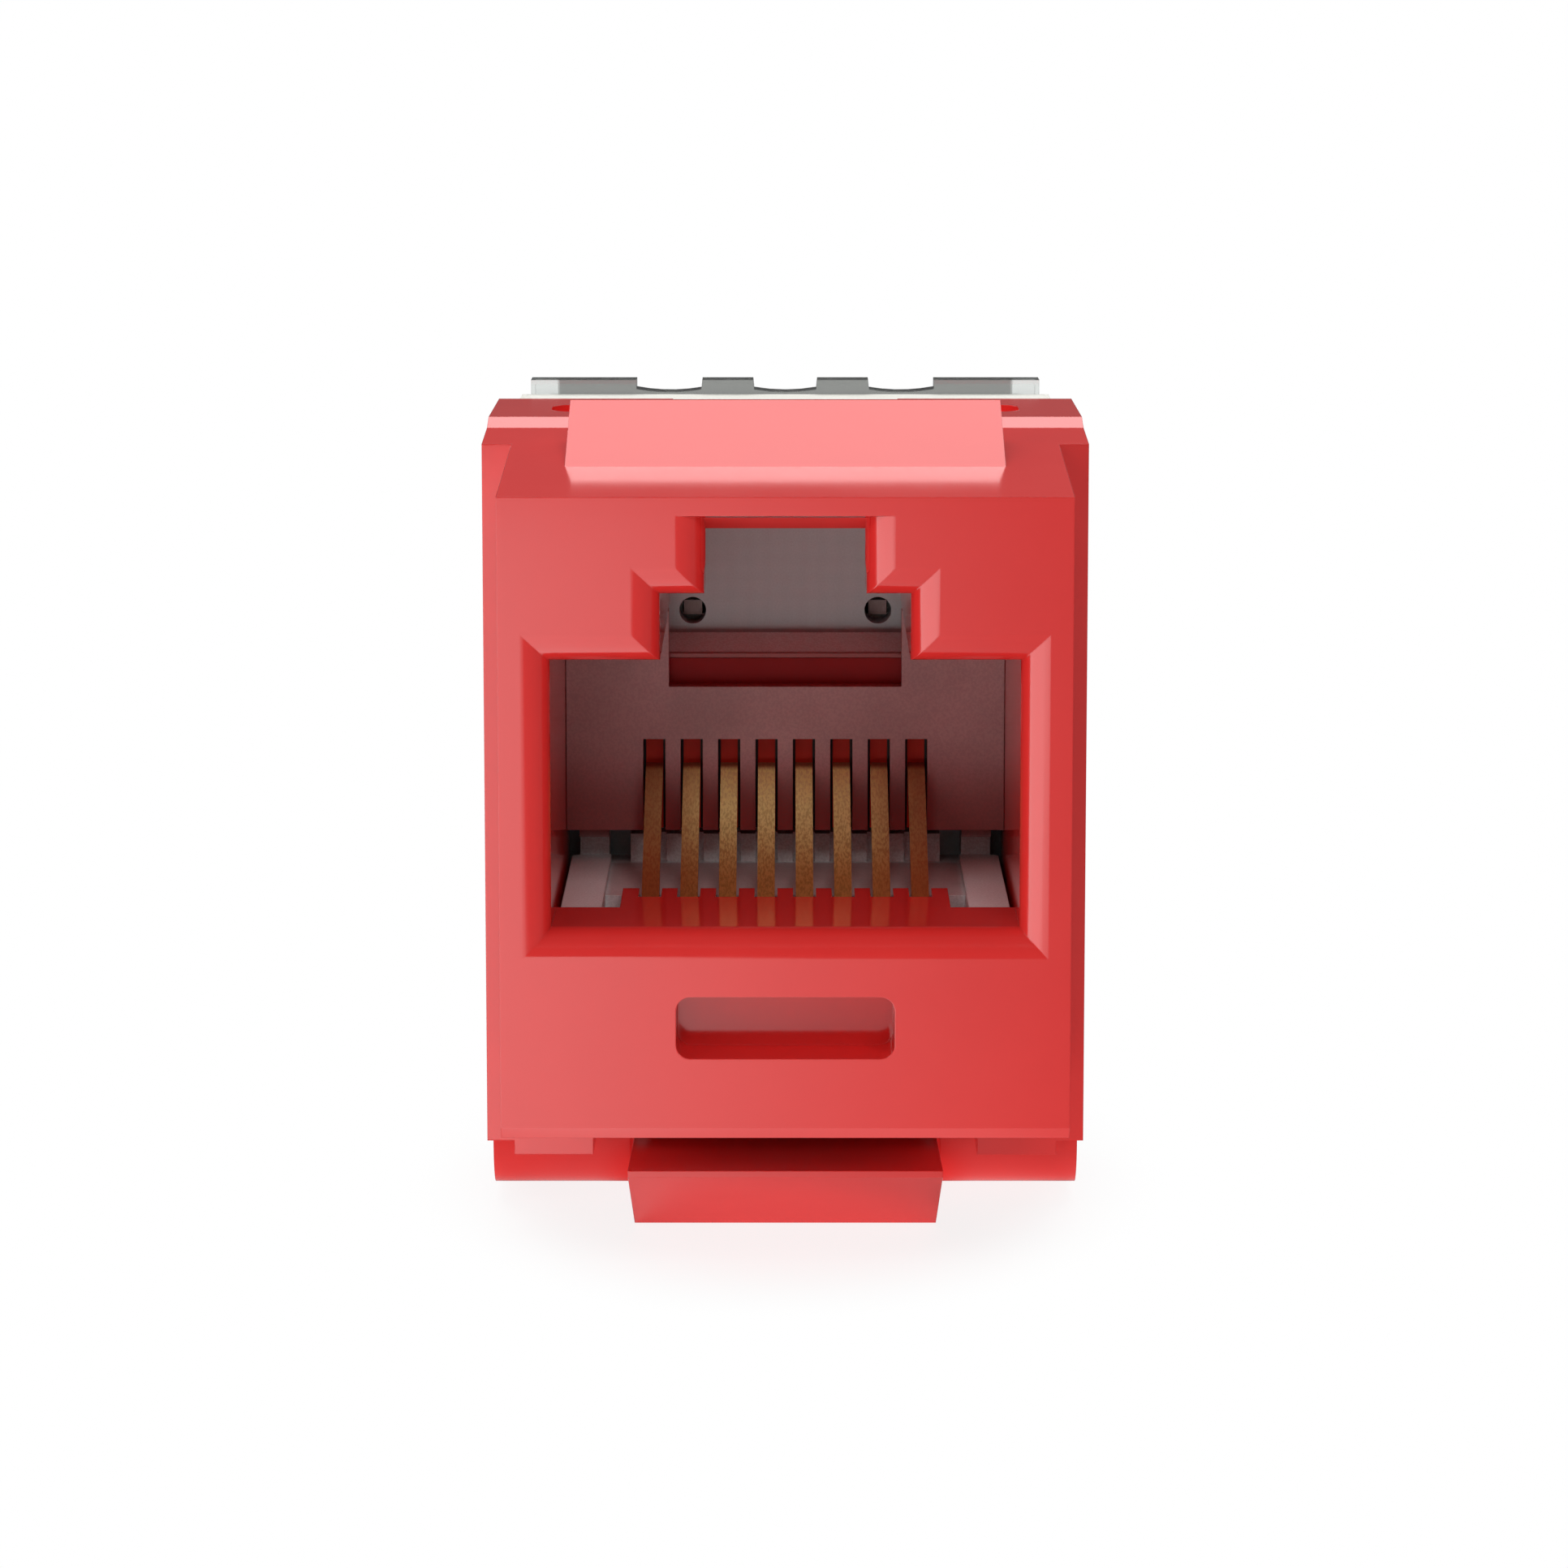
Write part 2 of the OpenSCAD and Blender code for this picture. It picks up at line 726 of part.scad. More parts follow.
module circuit_board() {
  color([0.46, 0.46, 0.47])
    difference() {
      bar(block_w, board_y, board_back, block_low, block_top);
      for (i = [1 : contacts])
        translate([contact_x(i), board_y - eps, tail_z(i)])
          rotate([-90, 0, 0])
            cylinder(h = board_t + 2 * eps, d = tail_hole);
      for (i = [1 : 8])
        translate([pin_x(i), board_y - eps, blade_height(i)])
          rotate([-90, 0, 0])
            cylinder(h = board_t + 2 * eps, d = pin_hole);
    }
}

// plan of one wire slot with its funnel mouth
module slot_plan() {
  mouth = wire_slot / 2 + slot_mouth;
  translate([-wire_slot / 2, slot_y])
    square([wire_slot, tower_y - slot_y + eps]);
  polygon([
    [-wire_slot / 2, tower_y - taper_l],
    [wire_slot / 2, tower_y - taper_l],
    [mouth, tower_y + 0.01],
    [-mouth, tower_y + 0.01]
  ]);
}

// side view of one row of towers, with tapered tips
module row_profile() {
  polygon([
    [body_d, 0],
    [body_d, tower_top],
    [tower_y - taper_l, tower_top],
    [tower_y, tower_top - taper_l * 0.6],
    [tower_y, row_gap / 2 + taper_l * 0.4],
    [tower_y - taper_l, row_gap / 2],
    [slot_y, row_gap / 2],
    [slot_y, 0]
  ]);
}

module idc_block() {
  color([0.88, 0.88, 0.86])
    difference() {
      union() {
        // part that nests in the housing
        bar(block_w, board_back, body_d, block_low, block_top);
        // core that joins it to the base plate
        bar(tower_w, body_d - snap_back, base_y, block_low + channel_roof, block_top - channel_roof);
        translate([0, 0, idc_z]) {
          bar(base_w, body_d, base_y, -base_h, base_h);
          across(tower_w) row_profile();
          mirror([0, 0, 1])
            across(tower_w) row_profile();
        }
        // tongue in the housing's rear edge
        bar(tab_w, body_d - tab_l, body_d, block_top - eps, body_top - fit);
        both_sides() {
          // snaps in the housing's side windows
          box(block_w / 2 - eps, body_w / 2 - snap_in, snap_y, snap_y + snap_l,
              idc_z - snap_w / 2, idc_z + snap_w / 2);
          // ridges that hold the cap, on the outer towers
          for (s = [-1, 1])
            translate([0, 0, idc_z + s * row_rise])
              box(tower_w / 2 - end_skin, tower_w / 2 + clip_out, clip_y, clip_y + clip_l, -snap_w / 2, snap_w / 2);
        }
      }
      // room for the contacts' tails
      bar(2 * contact_x(contacts) + wire_w + 2 * tail_room, board_back - eps, tail_y + tail_room,
          run_z - wire_t / 2 - tail_room, run_z + tail_step + wire_t / 2 + tail_room);
      for (i = [1 : 8])
        translate([blade_x(i), 0, blade_height(i)])
          bar(blade_w + 2 * blade_fit, board_back - eps, blade_tip + blade_fit,
              -blade_t / 2 - blade_fit, blade_t / 2 + blade_fit);
      for (i = [1 : 4])
        translate([blade_x(i), 0, 0])
          upright(idc_z - tower_top - eps, idc_z + tower_top + eps)
            slot_plan();
    }
}

// plan of one blade: forked end, shoulder and offset pin
module blade_plan(side) {
  slit_y = slot_y + slit_in;
  difference() {
    translate([-blade_w / 2, blade_root])
      square([blade_w, blade_tip - blade_root]);
    translate([-slit_w / 2, slit_y])
      square([slit_w, blade_tip - slit_y + eps]);
    translate([0, slit_y])
      circle(slit_w * 0.8);
    polygon([
      [0, blade_tip - fork_l],
      [blade_w * 0.3, blade_tip + 0.01],
      [-blade_w * 0.3, blade_tip + 0.01]
    ]);
  }
  translate([side * pin_off - pin_w / 2, board_y + pin_in])
    square([pin_w, blade_root - board_y - pin_in + 0.1]);
}

module idc_blade(i) {
  color([0.75, 0.72, 0.66])
    translate([blade_x(i), 0, blade_height(i)])
      upright(-blade_t / 2, blade_t / 2)
        blade_plan(pin_side(i));
}

// front view of one scallop, at the lip's top
module scallop(x, side) {
  top = cap_oh / 2 + lip_h;
  low = top - scallop_d;
  half = scallop_w / 2;
  translate([x, 0])
    intersection() {
      polygon([
        [-half, top + eps],
        [-half + (side < 0 ? 0 : scallop_slant), low - eps],
        [half - (side > 0 ? 0 : scallop_slant), low - eps],
        [half, top + eps]
      ]);
      translate([0, low + scallop_r])
        circle(scallop_r, $fn = 96);
    }
}

// raised lip at the cap's front edge, with a scallop over each inner tower
module cap_lip() {
  top = cap_oh / 2 + lip_h;
  difference() {
    along(cap_y0, cap_y0 + lip_l)
      difference() {
        translate([-cap_ow / 2, cap_oh / 2 - cap_wall / 2])
          square([cap_ow, cap_wall / 2 + lip_h]);
        for (k = [-1, 0, 1])
          scallop(k * idc_pitch, k);
      }
    // relief in each corner
    both_sides()
      box(cap_ow / 2 - relief_wall - relief_w, cap_ow / 2 - relief_wall, cap_y0 - eps, cap_y0 + relief_d,
          top - scallop_d - relief_wall, top - relief_wall);
  }
}

module dust_cap() {
  rib_y = blade_tip + rib_gap;
  color([0.85, 0.87, 0.88, 0.4])
    translate([0, 0, idc_z])
      difference() {
        union() {
          difference() {
            union() {
              along(cap_y0, cap_end) rounded(cap_ow, cap_oh, cap_r);
              cap_lip();
              mirror([0, 0, 1]) cap_lip();
            }
            bar(cap_iw, cap_y0 - eps, cap_y1, -cap_ih / 2, cap_ih / 2);
          }
          // ribs that hold the wires down in their slots
          for (i = [1 : 4], s = [-1, 1])
            translate([blade_x(i), 0, s * row_rise])
              bar(rib_t, rib_y, cap_y1 + cap_back / 2, -rib_h / 2, rib_h / 2);
        }
        // cable opening
        along(cap_y1 - eps, cap_end + eps)
          rounded(cable_w, cable_w, cable_r);
        // windows for the ridges that hold the cap
        both_sides()
          for (s = [-1, 1])
            translate([0, 0, s * row_rise])
              box(cap_iw / 2 - eps, cap_ow / 2 + eps, clip_y - fit, clip_y + clip_l + fit,
                  -snap_w / 2 - fit, snap_w / 2 + fit);
      }
}

module contact_1() { contact(1); }
module contact_2() { contact(2); }
module contact_3() { contact(3); }
module contact_4() { contact(4); }
module contact_5() { contact(5); }
module contact_6() { contact(6); }
module contact_7() { contact(7); }
module contact_8() { contact(8); }
module idc_blade_1() { idc_blade(1); }
module idc_blade_2() { idc_blade(2); }
module idc_blade_3() { idc_blade(3); }
module idc_blade_4() { idc_blade(4); }
module idc_blade_5() { idc_blade(5); }
module idc_blade_6() { idc_blade(6); }
module idc_blade_7() { idc_blade(7); }
module idc_blade_8() { idc_blade(8); }

front_housing();
contact_carrier();
contact_retainer();
contact_1();
contact_2();
contact_3();
contact_4();
contact_5();
contact_6();
contact_7();
contact_8();
circuit_board();
idc_block();
idc_blade_1();
idc_blade_2();
idc_blade_3();
idc_blade_4();
idc_blade_5();
idc_blade_6();
idc_blade_7();
idc_blade_8();
dust_cap();
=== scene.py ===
# %% [markdown]
# # A snap-in network jack
#
# The object is a small red jack that snaps into a wall plate. Its solids come ready made and at their
# real size, about 16 x 29 x 22 mm. This lesson gives each piece the finish that it has on the real
# thing, sets up a white studio, and looks at it through the camera of the photograph. The solids could
# be modelled here as well, but sizes that have to fit a plug are safer in the construction, so this
# script changes no shape.

# %% Load the solids
import math

import bpy
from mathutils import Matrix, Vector


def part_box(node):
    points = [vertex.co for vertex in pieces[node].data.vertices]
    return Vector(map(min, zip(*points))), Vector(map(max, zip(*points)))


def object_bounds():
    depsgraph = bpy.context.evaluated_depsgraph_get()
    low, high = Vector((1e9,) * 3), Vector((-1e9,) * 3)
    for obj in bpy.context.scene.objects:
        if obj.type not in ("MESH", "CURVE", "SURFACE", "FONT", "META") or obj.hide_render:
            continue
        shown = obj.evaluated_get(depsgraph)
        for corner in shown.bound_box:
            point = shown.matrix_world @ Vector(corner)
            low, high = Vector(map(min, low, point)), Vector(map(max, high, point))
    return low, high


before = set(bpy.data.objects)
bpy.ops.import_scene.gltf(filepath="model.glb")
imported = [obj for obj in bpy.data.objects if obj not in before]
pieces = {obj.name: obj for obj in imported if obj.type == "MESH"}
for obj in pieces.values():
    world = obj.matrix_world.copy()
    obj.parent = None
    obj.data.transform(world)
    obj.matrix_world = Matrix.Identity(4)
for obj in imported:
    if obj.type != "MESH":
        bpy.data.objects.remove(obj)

CAD_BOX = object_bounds()
MM = 0.001
print(len(pieces), "solids, box in mm:", [round((b - a) / MM, 2) for a, b in zip(*CAD_BOX)])

# %% [markdown]
# ## Shader maths that reads like maths
#
# A finish is a small program made of nodes. Wiring it link by link takes many lines and hides the idea,
# so one class wraps a socket and lets Python's own operators add the Math nodes. Every other kind of
# node comes from the method `add`: first the node's settings, then what goes into its sockets.

# %% A socket that can be added, multiplied and so on
class Socket:
    """One output of a node, with the node tree that it lives in."""

    def __init__(self, tree, socket=None):
        self.tree = tree
        self.socket = socket

    def add(self, kind, settings=None, inputs=None, out=0):
        """Add a node of any kind, and return one of its outputs."""
        made = self.tree.nodes.new(kind)
        for key, value in (settings or {}).items():
            setattr(made, key, value)
        for key, value in (inputs or {}).items():
            self.feed(made.inputs[key], value)
        return Socket(self.tree, made.outputs[out])

    def feed(self, target, value):
        """Link a Socket to an input, or set a plain value there."""
        if isinstance(value, Socket):
            self.tree.links.new(value.socket, target)
        else:
            target.default_value = value

    def maths(self, operation, first, second=0.0):
        return self.add("ShaderNodeMath", {"operation": operation}, {0: first, 1: second})

    def most(self, other):
        return self.maths("MAXIMUM", self, other)

    def fraction(self):
        return self.maths("FRACT", self)

    def __abs__(self):
        return self.maths("ABSOLUTE", self)

    def __add__(self, other):
        return self.maths("ADD", self, other)

    __radd__ = __add__

    def __mul__(self, other):
        return self.maths("MULTIPLY", self, other)

    __rmul__ = __mul__

    def __sub__(self, other):
        return self.maths("SUBTRACT", self, other)

    def __rsub__(self, other):
        return self.maths("SUBTRACT", other, self)

    def __truediv__(self, other):
        return self.maths("DIVIDE", self, other)

    def __rtruediv__(self, other):
        return self.maths("DIVIDE", other, self)


# %% [markdown]
# ## Colours as they are written
#
# Paint charts and photographs give a colour as the screen shows it, but light adds up in linear values.
# Blender's own colour button converts while you type, and a script has to do it by itself. The numbers
# in the formula are those of the common screen standard.

# %% Screen colour to linear light
def linear(hex_colour):
    """A web colour as the linear RGBA that shader sockets expect."""
    parts = [int(hex_colour[i:i + 2], 16) / 255 for i in (0, 2, 4)]
    return tuple(c / 12.92 if c <= 0.04045 else ((c + 0.055) / 1.055) ** 2.4 for c in parts) + (1.0,)


print("e6312f as linear light:", [round(c, 3) for c in linear("e6312f")])

# %% [markdown]
# ## What all the finishes share
#
# Moulded plastic, plated wire and board all need the same start: a Principled shader and the place on
# the object in metres. An unwrapped UV map could give the place too, but it would have to be made for
# 22 solids. Object coordinates are there already, every solid keeps the frame's origin, and so the
# grain runs on from piece to piece and its size can be given in millimetres.

# %% Start a finish, and put it on pieces
def start_finish(name):
    material = bpy.data.materials.new(name)
    material.use_nodes = True
    shader = material.node_tree.nodes["Principled BSDF"]
    place = Socket(material.node_tree).add("ShaderNodeTexCoord", out="Object")
    return material, shader, place


def dress(material, *names):
    for name in names:
        pieces[name].data.materials.clear()
        pieces[name].data.materials.append(material)
    print(material.name, "on", len(names), "piece(s)")


# %% [markdown]
# ## Noise, colour and relief
#
# A few helpers do most of the work. Noise gives unevenness at a chosen size. A colour mix turns that
# unevenness into two shades of the same colour. Its node has one set of sockets for each kind of value,
# so the colour sockets are picked by their number. A bump turns unevenness into relief so shallow that
# no solid could carry it: a few thousandths of a millimetre.

# %% Noise, mixes and bumps
MIX_FIRST, MIX_SECOND, MIX_RESULT = 6, 7, 2


def noise(place, size_mm, detail=2.0):
    inputs = {"Vector": place, "Scale": 1 / (size_mm * MM), "Detail": detail}
    return place.add("ShaderNodeTexNoise", inputs=inputs, out="Fac")


def stretch(place, scale):
    return place.add("ShaderNodeVectorMath", {"operation": "MULTIPLY"}, {0: place, 1: scale}, out="Vector")


def shade(amount, first, second):
    inputs = {"Factor": amount, MIX_FIRST: first, MIX_SECOND: second}
    return amount.add("ShaderNodeMix", {"data_type": "RGBA"}, inputs, out=MIX_RESULT)


def relief(height, depth_mm, strength, normal=None):
    inputs = {"Height": height, "Strength": strength, "Distance": depth_mm * MM}
    if normal is not None:
        inputs["Normal"] = normal
    return height.add("ShaderNodeBump", inputs=inputs)


# %% [markdown]
# ## Masks by place
#
# One moulding can be polished here and dull there. Painting such a mask by hand would tie it to a map,
# so the masks are worked out from the place itself: X runs to the side, Y into the depth and Z up. From
# here on, a named pair of numbers gives the two ends of a ramp: where a change begins, and where it is
# complete.

# %% Axes and ramps
def axis(place, letter):
    """How far the place lies along X, Y or Z, in metres."""
    return place.add("ShaderNodeSeparateXYZ", inputs={0: place}, out=letter)


def ramp(value, start, end):
    inputs = {"Value": value, "From Min": start, "From Max": end}
    return value.add("ShaderNodeMapRange", {"interpolation_type": "SMOOTHSTEP"}, inputs)


def ramp_mm(value, start_mm, end_mm):
    return ramp(value, start_mm * MM, end_mm * MM)


# %% [markdown]
# ## Rounded edges, paler from wear and a painted highlight
#
# A mould can't have perfectly sharp corners, so every real edge is a tiny round that catches the light.
# A bevel modifier would add faces to every solid. The Bevel node only bends the normal near an edge and
# leaves the solid alone. Where the bent normal leaves the true one there is an edge, which also gives a
# mask for paler edges: partly rubbed plastic, partly a painted highlight.

# %% Edge normal and edge mask
EDGE_BEND = (0.02, 0.25)
BEVEL_RAYS = 6


def soft_edge(place, radius_mm):
    bent = place.add("ShaderNodeBevel", {"samples": BEVEL_RAYS}, {"Radius": radius_mm * MM})
    true = place.add("ShaderNodeNewGeometry", out="Normal")
    match = place.add("ShaderNodeVectorMath", {"operation": "DOT_PRODUCT"}, {0: bent, 1: true}, out="Value")
    return bent, ramp(1 - match, *EDGE_BEND)


# %% [markdown]
# ## Roof of the notch
#
# The housing's mould is polished, so the socket's floor mirrors the contacts. Only the core that forms
# the notch for the plug's lever is left as it was eroded, and so the notch has a dull roof. A second
# material on those faces would do, but it would need a cut in the mesh, and a mask needs none.

# %% Mask of the dull roof
NOTCH_DEPTH_MM = (0.3, 0.6)
NOTCH_SIDE_MM = (3.6, 3.4)
ROOF_LOW_MM = (6.0, 6.3)
ROOF_HIGH_MM = (7.8, 7.5)


def notch_roof(place):
    side, depth, height = [axis(place, letter) for letter in "XYZ"]
    inside = ramp_mm(depth, *NOTCH_DEPTH_MM) * ramp_mm(abs(side), *NOTCH_SIDE_MM)
    return inside * ramp_mm(height, *ROOF_LOW_MM) * ramp_mm(height, *ROOF_HIGH_MM)


print("dull roof", ROOF_LOW_MM[0], "to", ROOF_HIGH_MM[0], "mm above the middle of the face")

# %% [markdown]
# ## Red housing
#
# The housing is injection-moulded in one saturated red. A single flat colour would do from far away,
# but close by the flow of the plastic shows as faint clouds, the mould's skin as a very fine grain, and
# the edges are painted a little paler, partly as rubbed plastic and partly as a painted highlight.

# %% Red moulded plastic
RED = linear("e6312f")
RED_FLOW = linear("ed3936")
RED_EDGE_WEAR_AND_HIGHLIGHT = linear("f4625e")
RED_FLOW_MM = 3.5
RED_GRAIN_MM = 0.12
RED_EDGE_MM = 0.04
POLISHED = 0.06
ERODED = 0.7


def red_moulding():
    material, shader, place = start_finish("red_moulded_plastic")
    grain = noise(place, RED_GRAIN_MM)
    cloud = noise(place, RED_FLOW_MM, detail=3.0)
    bent, edge = soft_edge(place, RED_EDGE_MM)
    body = shade(cloud, RED, RED_FLOW)
    gloss = POLISHED + 0.04 * cloud + 0.03 * grain
    # The edges are painted paler: partly rubbed plastic, partly a painted highlight.
    place.feed(shader.inputs["Base Color"], shade(0.3 * edge, body, RED_EDGE_WEAR_AND_HIGHLIGHT))
    place.feed(shader.inputs["Roughness"], gloss + ERODED * notch_roof(place))
    place.feed(shader.inputs["Normal"], relief(grain, depth_mm=0.002, strength=0.08, normal=bent))
    return material


dress(red_moulding(), "front_housing")

# %% [markdown]
# ## Retainer
#
# Behind the comb wall a plain red bar holds the contacts down. It lies deep in the socket, where only
# bounced light reaches it. It could share the housing's finish, but a bar that nobody sees isn't
# polished, so it is duller, with hardly any mirror in it, and its red is painted darker as shade. In the
# slots of the comb, light and shade are painted on it: one livelier red rib of painted light behind each
# contact, with a dark groove of painted shade on either side. The grooves are finer than a tenth of a
# millimetre, so a mask that repeats with the contacts is enough for them.

# %% Dark red plastic
CONTACT_PITCH_MM = 1.016
RIB_MM = (0.25, 0.21)
SLOT_TOP_MM = (1.6, 1.2)
BAR_SHADE_RED = linear("9a1013")
BAR_SHADE_FLOW = linear("a61719")
RIB_LIT_RED = linear("e83420")
GROOVE_SHADE_BLACK = linear("1c1a19")
BAR_FLOW_MM = 1.5
BAR_GRAIN_MM = 0.06


def from_contact(side):
    """Distance across from the middle of the nearest contact."""
    pitch = CONTACT_PITCH_MM * MM
    steps = side / pitch
    return pitch * abs(steps.fraction() - 0.5)


def dark_red_moulding():
    material, shader, place = start_finish("dark_red_plastic")
    grain = noise(place, BAR_GRAIN_MM)
    # Painted shade: the bar's red is darker than the housing's.
    body = shade(noise(place, BAR_FLOW_MM), BAR_SHADE_RED, BAR_SHADE_FLOW)
    rib = ramp_mm(from_contact(axis(place, "X")), *RIB_MM)
    in_slots = ramp_mm(axis(place, "Z"), *SLOT_TOP_MM)
    # Painted light and shade in the slots: a lit red rib behind each contact, a shaded dark groove beside
    # it.
    painted_ribs_and_grooves = shade(rib, GROOVE_SHADE_BLACK, RIB_LIT_RED)
    place.feed(shader.inputs["Base Color"], shade(in_slots, body, painted_ribs_and_grooves))
    place.feed(shader.inputs["Roughness"], 0.40 + 0.10 * grain)
    place.feed(shader.inputs["Normal"], relief(grain, depth_mm=0.001, strength=0.2))
    shader.inputs["Specular IOR Level"].default_value = 0.15
    return material


dress(dark_red_moulding(), "contact_retainer")

# %% [markdown]
# ## Where light and shade are painted on the comb insert
#
# The insert is one grey moulding, and light and shade are painted on it by place. Its wall is painted
# redder towards the bottom as red bounce light, and darker red on the teeth between the contacts as
# shade. The two rails that the plug slides on, the ledge over the retainer and the comb behind the wall
# are painted paler as light, and a red line of painted shade runs along the ledge's front edge. The
# retainer's own box says where the ledge lies, so the masks follow the solids.

# %% Masks of painted light and shade on the comb insert
BAR_LOW, BAR_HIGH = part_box("contact_retainer")
LOW_MM = (-2.2, -2.8)
RAIL_SIDE_MM = (4.6, 4.85)
COMB_BEHIND_MM = (0.1, 0.3)
COMB_BELOW_MM = (0.0, -0.5)
LEDGE_BEHIND_MM = (0.05, 0.13)
LEDGE_ABOVE_MM = (-0.1, 0.05)
LIMIT_BEHIND_MM = (-0.04, -0.01)
LIMIT_BEFORE_MM = (0.11, 0.05)
LIMIT_ABOVE_MM = (-0.1, -0.05)
WALL_RED_MM = (0.6, -1.6)
TEETH_SIDE_MM = (4.2, 3.9)
TEETH_RED_MM = (0.2, -1.8)


def insert_light_masks(place):
    """Where the insert is painted pale as light, red as bounce light and shade, and darker red on the teeth
    as shade.
    """
    side, depth, height = [axis(place, letter) for letter in "XYZ"]
    behind = depth - BAR_LOW.y
    above = height - BAR_HIGH.z
    low = ramp_mm(height, *LOW_MM)
    rail = ramp_mm(abs(side), *RAIL_SIDE_MM)
    comb = ramp_mm(behind, *COMB_BEHIND_MM) * ramp_mm(height, *COMB_BELOW_MM)
    ledge = ramp_mm(behind, *LEDGE_BEHIND_MM) * ramp_mm(above, *LEDGE_ABOVE_MM)
    ledge_limit = ramp_mm(behind, *LIMIT_BEHIND_MM) * ramp_mm(behind, *LIMIT_BEFORE_MM)
    # Painted light and shade: pale for light on rails, ledge and comb; red for bounce light on the wall and
    # shade at the ledge's edge; darker red for shade on the teeth.
    lit_pale = (low * (0.3 + 0.5 * rail)).most(0.8 * comb + ledge)
    painted_red = 0.85 * ramp_mm(height, *WALL_RED_MM) * (1 - low) + ledge_limit * ramp_mm(above, *LIMIT_ABOVE_MM)
    tooth_shade = 0.8 * ramp_mm(abs(side), *TEETH_SIDE_MM) * ramp_mm(height, *TEETH_RED_MM) * (1 - low)
    return lit_pale, painted_red, tooth_shade


print("retainer bar from", round(BAR_LOW.y / MM, 2), "mm in, up to", round(BAR_HIGH.z / MM, 2), "mm")

# %% [markdown]
# ## Painted light and shade on the comb insert
#
# The masks choose between three painted colours over the plain grey: red bounce light, darker red shade
# and pale light. One material for each would give them hard borders, but they run into each other, so the
# mixes follow one another in a single material. The wire block has no such places and keeps its plain
# colour.

# %% Painted light and shade over the plain moulding
WALL_BOUNCE_RED = linear("aa504c")
TOOTH_SHADE_RED = linear("9c1c18")
RAIL_LIT_PALE = linear("f2fafa")


def insert_painted_light(place, body):
    lit_pale, painted_red, tooth_shade = insert_light_masks(place)
    wall = shade(tooth_shade, shade(painted_red, body, WALL_BOUNCE_RED), TOOTH_SHADE_RED)
    return shade(lit_pale, wall, RAIL_LIT_PALE)


def no_tints(place, body):
    return body


# %% [markdown]
# ## Glass-filled plastics
#
# The comb insert and the wire block are filled with glass fibre so that they stay true when the wires
# are punched down. The fibres could be strands of geometry, but they are finer than a hair, so a noise
# of a few hundredths of a millimetre stands for them. It drives colour, gloss and relief together,
# because a fibre that shows in one shows in all three.

# %% Speckled mouldings
FIBRE_MM = 0.06
FIBRE_SPREAD = (0.62, 0.38)
CLOUD_MM = 2.2
CLOUD_SPREAD = (0.3, 0.7)
FILLED_EDGE_MM = 0.03
WHITE = linear("ffffff")


def filled_moulding(name, tints, dark, light, fibre, amount, dull):
    material, shader, place = start_finish(name)
    speck = noise(place, FIBRE_MM, detail=3.0)
    cloud = ramp(noise(place, CLOUD_MM), *CLOUD_SPREAD)
    bent, edge = soft_edge(place, FILLED_EDGE_MM)
    body = tints(place, shade(cloud, linear(dark), linear(light)))
    specked = shade(amount * ramp(speck, *FIBRE_SPREAD), body, linear(fibre))
    # The edges are painted a little paler with white: partly rubbed plastic, partly a painted highlight.
    place.feed(shader.inputs["Base Color"], shade(0.08 * edge, specked, WHITE))
    place.feed(shader.inputs["Roughness"], dull - 0.08 + 0.16 * speck)
    place.feed(shader.inputs["Normal"], relief(speck, depth_mm=0.003, strength=0.3, normal=bent))
    return material


grey_shades = {"dark": "b89494", "light": "c8a2a2", "fibre": "5a4040"}
ivory_shades = {"dark": "e9e8e0", "light": "efeee6", "fibre": "cfcdc4"}
grey = filled_moulding("grey_filled_plastic", insert_painted_light, amount=0.15, dull=0.42, **grey_shades)
ivory = filled_moulding("ivory_filled_plastic", no_tints, amount=0.3, dull=0.50, **ivory_shades)
dress(grey, "contact_carrier")
dress(ivory, "idc_block")

# %% [markdown]
# ## Circuit board
#
# The board is woven glass under a grey solder mask. The strands lie half a millimetre apart in both
# directions and show as a soft relief. A woven mesh would be far too fine to see, so two wave textures
# are added, one per direction. A wave texture of scale 1 has 20 radians per metre, and the scale follows
# from that.

# %% Board with its mask
WEAVE_MM = 0.5
WAVE_RADIANS = 20.0
BOARD_SPECK_MM = 0.05
BOARD_GREY = linear("c2d6d6")
BOARD_PALE = linear("dceeee")


def weave(place, direction):
    scale = 2 * math.pi / (WAVE_RADIANS * WEAVE_MM * MM)
    inputs = {"Vector": place, "Scale": scale, "Distortion": 0.6}
    return place.add("ShaderNodeTexWave", {"bands_direction": direction}, inputs, out="Fac")


def masked_board():
    material, shader, place = start_finish("board_mask")
    speck = noise(place, BOARD_SPECK_MM, detail=3.0)
    cloth = 0.5 * weave(place, "X") + 0.5 * weave(place, "Z")
    place.feed(shader.inputs["Base Color"], shade(0.85 * speck + 0.15 * cloth, BOARD_GREY, BOARD_PALE))
    place.feed(shader.inputs["Roughness"], 0.38 + 0.14 * speck)
    place.feed(shader.inputs["Normal"], relief(0.6 * cloth + 0.4 * speck, depth_mm=0.004, strength=0.25))
    return material


dress(masked_board(), "circuit_board")

# %% [markdown]
# ## Painted shade on the contacts and blades
#
# The contacts are painted browner at both ends of the row as shade, and their tips are painted red where
# they go up into the slots, as the red shade there. The blades' pins are painted dark where they end in
# the board's holes, as painted shade. Each contact could have a material of its own, but the row shares
# one frame, so a mask along it serves all eight.

# %% Painted shade over the plating
ROW_END_MM = (1.6, 3.7)
TIP_MM = (-0.5, -0.36)
HOLE_SHADE_MM = (17.5, 14.5)
ROW_END_SHADE = linear("84361c")
TIP_SHADE_RED = linear("7a1008")
HOLE_SHADE = linear("5e4644")


